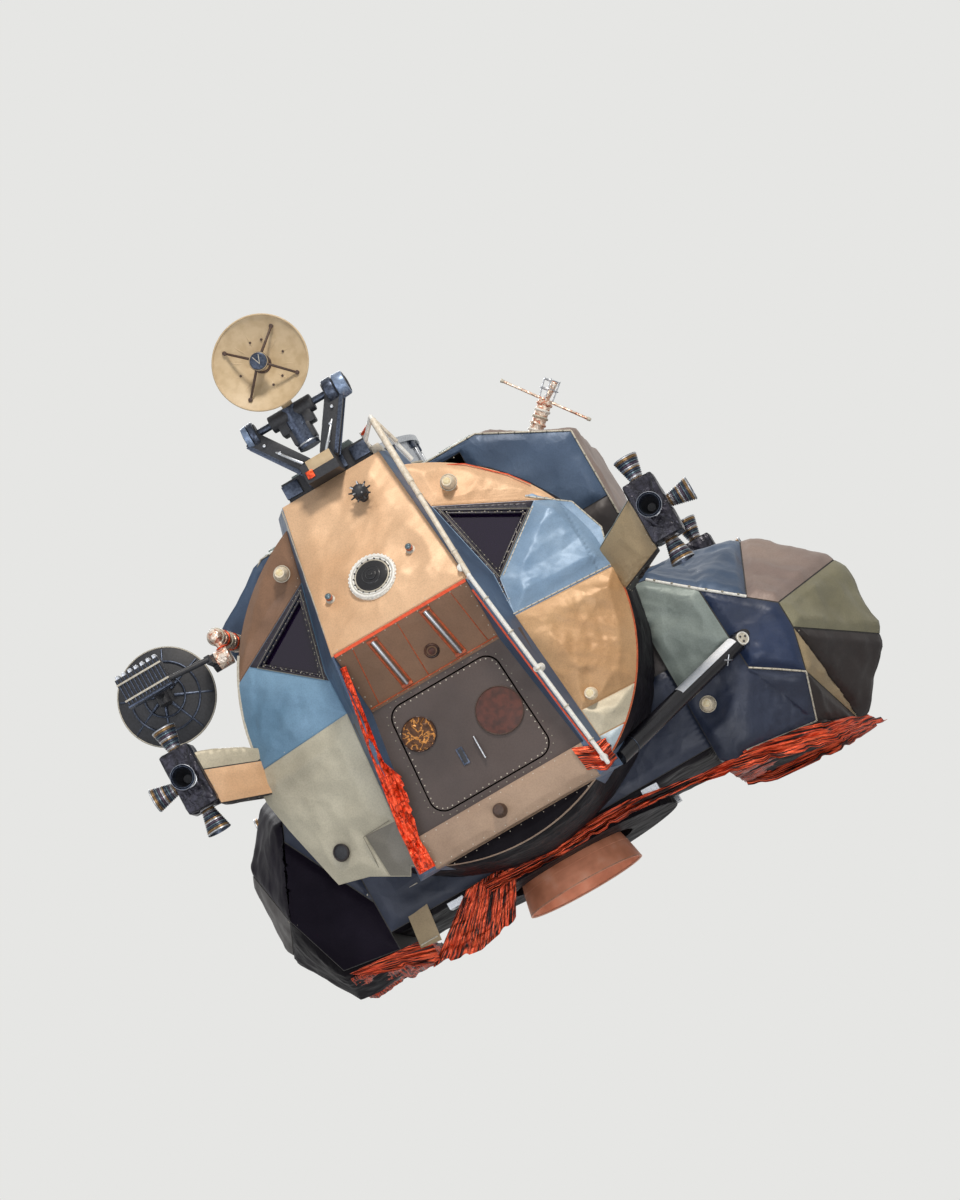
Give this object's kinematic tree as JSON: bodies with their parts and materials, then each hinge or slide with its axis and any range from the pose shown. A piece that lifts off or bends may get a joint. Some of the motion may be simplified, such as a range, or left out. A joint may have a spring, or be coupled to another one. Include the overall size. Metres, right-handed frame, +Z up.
{
  "type": "lunar module ascent stage",
  "caption": "Crewed spacecraft stage: faceted cabin with forward and overhead hatches, tank bulges, engine bell, thruster clusters, radar and steerable antenna.",
  "frame": {"origin": "centre of the four lower fittings, on the plane where the stage is bolted down", "axes": "+Z up through the docking tunnel, -Y forwards through the front hatch, +X to the right as seen from the front"},
  "size_m": [4.334, 4.005, 3.905],
  "materials": {
    "tan_foil": "crinkled tan film over light sheet",
    "silver_blue": "bright anodised sheet panel with soft dents",
    "sage_panel": "grey-green coated sheet panel",
    "dark_panel": "matt black coated sheet panel",
    "orange_foil": "crumpled orange film blanket",
    "window_glass": "dark layered glazing",
    "nozzle_skin": "copper-pink ablative skin",
    "bright_metal": "bare machined metal",
    "dish_cream": "matt cream paint",
    "black_finish": "matt black paint",
    "white_paint": "matt white paint",
    "bell_metal": "heat-tinted ribbed metal",
    "cabin_lining": "pale grey inner structure"
  },
  "bodies": {
    "stage": {"nose_panel": "tan_foil", "soffit": "tan_foil", "hatch_bulkhead": "dark_panel", "sill_panel": "tan_foil", "column_left": "orange_foil", "column_right": "orange_foil", "cabin_drum": "dark_panel", "brow_left": "tan_foil", "brow_right": "tan_foil", "cheek_left": "silver_blue", "cheek_right": "silver_blue", "low_cheek_left": "sage_panel", "low_cheek_right": "tan_foil", "windows": "window_glass", "cabin_floor": "cabin_lining", "midsection": "sage_panel", "docking_tunnel": "bright_metal", "engine_nozzle": "nozzle_skin", "engine_block": "bright_metal", "base_skirt": "orange_foil", "lower_fittings": "bright_metal", "fuel_bulge": "sage_panel", "oxidizer_bulge": "dark_panel", "aft_bay": "sage_panel", "equipment_rack": "silver_blue", "thrusters_front_left": "bell_metal", "thrusters_front_right": "bell_metal", "thrusters_rear_left": "bell_metal", "thrusters_rear_right": "bell_metal", "outriggers_front": "tan_foil", "outriggers_rear": "tan_foil", "radar_fork": "black_finish", "antenna_boom": "orange_foil", "tank_strut": "bright_metal", "handrail": "white_paint", "tracking_light": "white_paint", "forward_antenna": "black_finish", "docking_lamps": "white_paint", "inflight_antenna": "orange_foil"},
    "forward_hatch": {"forward_hatch": "dark_panel"},
    "overhead_hatch": {"overhead_hatch": "bright_metal"},
    "radar_shaft": {"radar_shaft": "bright_metal"},
    "radar_dish": {"radar_dish": "dish_cream"},
    "antenna_yoke": {"antenna_yoke": "black_finish"},
    "antenna_dish": {"antenna_dish": "black_finish"}
  },
  "joints": [
    {"name": "forward_hatch_hinge", "type": "hinge", "parent": "stage", "child": "forward_hatch", "pos_m": [-0.456, -1.7647, 0.749], "axis": [0, 0, 1], "range_deg": [0, 95]},
    {"name": "overhead_hatch_hinge", "type": "hinge", "parent": "stage", "child": "overhead_hatch", "pos_m": [0, 0.45, 2.4457], "axis": [1, 0, 0], "range_deg": [0, 75]},
    {"name": "radar_shaft_tip", "type": "hinge", "parent": "stage", "child": "radar_shaft", "pos_m": [0, -1.6, 3.026], "axis": [1, 0, 0], "range_deg": [-70, 59]},
    {"name": "radar_trunnion_turn", "type": "hinge", "parent": "radar_shaft", "child": "radar_dish", "pos_m": [0, -1.6, 3.366], "axis": [0, 0, 1], "range_deg": [-55, 55]},
    {"name": "antenna_pitch", "type": "hinge", "parent": "stage", "child": "antenna_yoke", "pos_m": [-1.2, -1.168, 2.007], "axis": [1, 0, 0], "range_deg": [-75, 255]},
    {"name": "antenna_yaw", "type": "hinge", "parent": "antenna_yoke", "child": "antenna_dish", "pos_m": [-1.613, -1.168, 2.007], "axis": [0, 0, 1], "range_deg": [-75, 75]}
  ]
}
